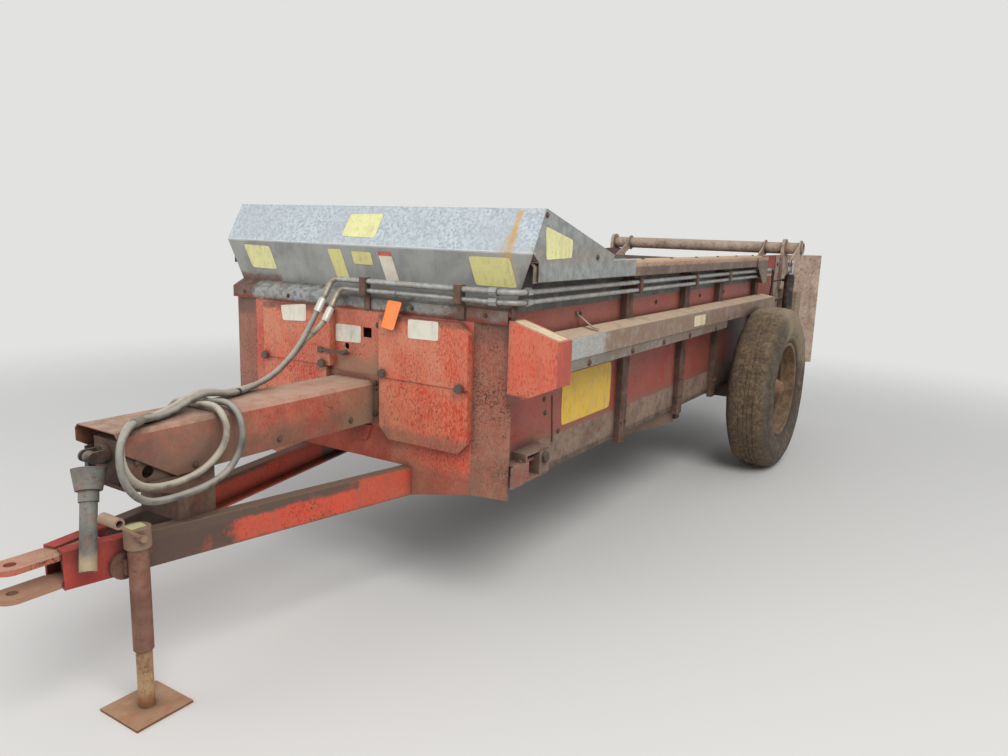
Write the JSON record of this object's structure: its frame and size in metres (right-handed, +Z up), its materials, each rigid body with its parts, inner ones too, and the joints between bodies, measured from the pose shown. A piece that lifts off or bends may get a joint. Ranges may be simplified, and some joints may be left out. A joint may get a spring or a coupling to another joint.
{
  "type": "manure spreader",
  "caption": "Trailed box manure spreader with a tapered drawbar, splash hood, apron floor, rear beater and lifting endgate, parked on its screw jack",
  "frame": {"origin": "middle of the whole machine on the ground", "axes": "+X forward to the hitch, +Y to the left side, +Z up"},
  "size_m": [5.837, 2.22, 1.567],
  "materials": {
    "black_paint": "satin",
    "boards": "worn",
    "brown_rail": "dull, rusty",
    "chrome_rod": "polished",
    "galvanised": "weathered spangle",
    "hose_rubber": "dusty",
    "pvc_guard": "corroded grey",
    "red_paint": "weathered gloss",
    "rusty_steel": "rusty",
    "side_panel": "dusty",
    "steel": "dull",
    "tan_steel": "dusty",
    "tyre_rubber": "worn, muddy"
  },
  "bodies": {
    "chassis": {"drawbar_rail_left": "red_paint", "drawbar_rail_right": "red_paint", "hitch_clevis": "rusty_steel", "cross_frame": "brown_rail", "tie_beam": "brown_rail", "axle_beam": "brown_rail", "sill_left": "brown_rail", "sill_right": "brown_rail", "floor": "boards", "side_wall_left": "side_panel", "side_wall_right": "side_panel", "stakes_left": "brown_rail", "stakes_right": "brown_rail", "top_rail_left": "tan_steel", "top_rail_right": "tan_steel", "front_wall": "red_paint", "inner_front": "brown_rail", "corner_strip_left": "red_paint", "corner_strip_right": "red_paint", "cover_left": "red_paint", "cover_right": "red_paint", "cap_band": "galvanised", "hood": "galvanised", "gear_shield": "red_paint", "side_shaft": "steel", "driveline_cover": "galvanised", "rear_gearbox": "brown_rail", "tunnel_stand": "brown_rail", "tunnel_shield": "red_paint", "line_shaft": "steel", "jack_tube": "rusty_steel", "rear_plate_left": "brown_rail", "rear_plate_right": "brown_rail", "beater_bearing": "brown_rail", "apron": "rusty_steel", "apron_shafts": "steel", "gate_guide_left": "brown_rail", "gate_guide_right": "brown_rail", "lift_bearing_left": "brown_rail", "lift_bearing_right": "brown_rail", "cylinder_lug": "brown_rail", "pipe_upper": "galvanised", "pipe_lower": "galvanised", "pipe_clamps": "galvanised", "hose_upper": "hose_rubber", "hose_lower": "hose_rubber", "hose_fittings": "steel", "cylinder_hose_upper": "hose_rubber", "cylinder_hose_lower": "hose_rubber"},
    "wheel_left": {"wheel_left": "tan_steel", "tyre_left": "tyre_rubber"},
    "wheel_right": {"wheel_right": "tan_steel", "tyre_right": "tyre_rubber"},
    "beater": {"beater": "rusty_steel"},
    "lift_tube": {"lift_tube": "tan_steel"},
    "endgate": {"endgate": "brown_rail"},
    "cylinder_body": {"cylinder_body": "black_paint"},
    "cylinder_rod": {"cylinder_rod": "chrome_rod"},
    "jack_leg": {"jack_leg": "rusty_steel"},
    "swing_shaft": {"swing_shaft": "pvc_guard"}
  },
  "joints": [
    {"name": "wheel_left_spin", "type": "hinge", "parent": "chassis", "child": "wheel_left", "pos_m": [-1.3855, 0.97, 0.527], "axis": [0, 1, 0], "continuous": true},
    {"name": "wheel_right_spin", "type": "hinge", "parent": "chassis", "child": "wheel_right", "pos_m": [-1.3855, -0.97, 0.527], "axis": [0, 1, 0], "continuous": true},
    {"name": "beater_spin", "type": "hinge", "parent": "chassis", "child": "beater", "pos_m": [-2.6285, 0, 0.98], "axis": [0, 1, 0], "continuous": true},
    {"name": "endgate_lift", "type": "hinge", "parent": "chassis", "child": "lift_tube", "pos_m": [-2.5585, 0, 1.424], "axis": [0, -1, 0], "range_deg": [0, 50]},
    {"name": "endgate_slide", "type": "slide", "parent": "chassis", "child": "endgate", "axis": [0, 0, 1], "range_m": [0, 0.4735]},
    {"name": "cylinder_pivot", "type": "hinge", "parent": "chassis", "child": "cylinder_body", "pos_m": [-2.2785, 0.845, 0.76], "axis": [0, 1, 0], "range_deg": [-3, 3]},
    {"name": "rod_slide", "type": "slide", "parent": "cylinder_body", "child": "cylinder_rod", "axis": [0.0034, 0, 1], "range_m": [0, 0.2531]},
    {"name": "jack_leg_slide", "type": "slide", "parent": "chassis", "child": "jack_leg", "axis": [0, 0, 1], "range_m": [-0.08, 0.17]},
    {"name": "shaft_swing", "type": "hinge", "parent": "chassis", "child": "swing_shaft", "pos_m": [2.6335, 0, 0.792], "axis": [0, -1, 0], "range_deg": [0, 70]}
  ],
  "couplings": [
    {"joint": "endgate_slide", "follows": "endgate_lift", "m_per_rad": 0.5424},
    {"joint": "rod_slide", "follows": "endgate_lift", "m_per_rad": 0.28975},
    {"joint": "cylinder_pivot", "follows": "endgate_lift", "ratio": -0.032314}
  ]
}
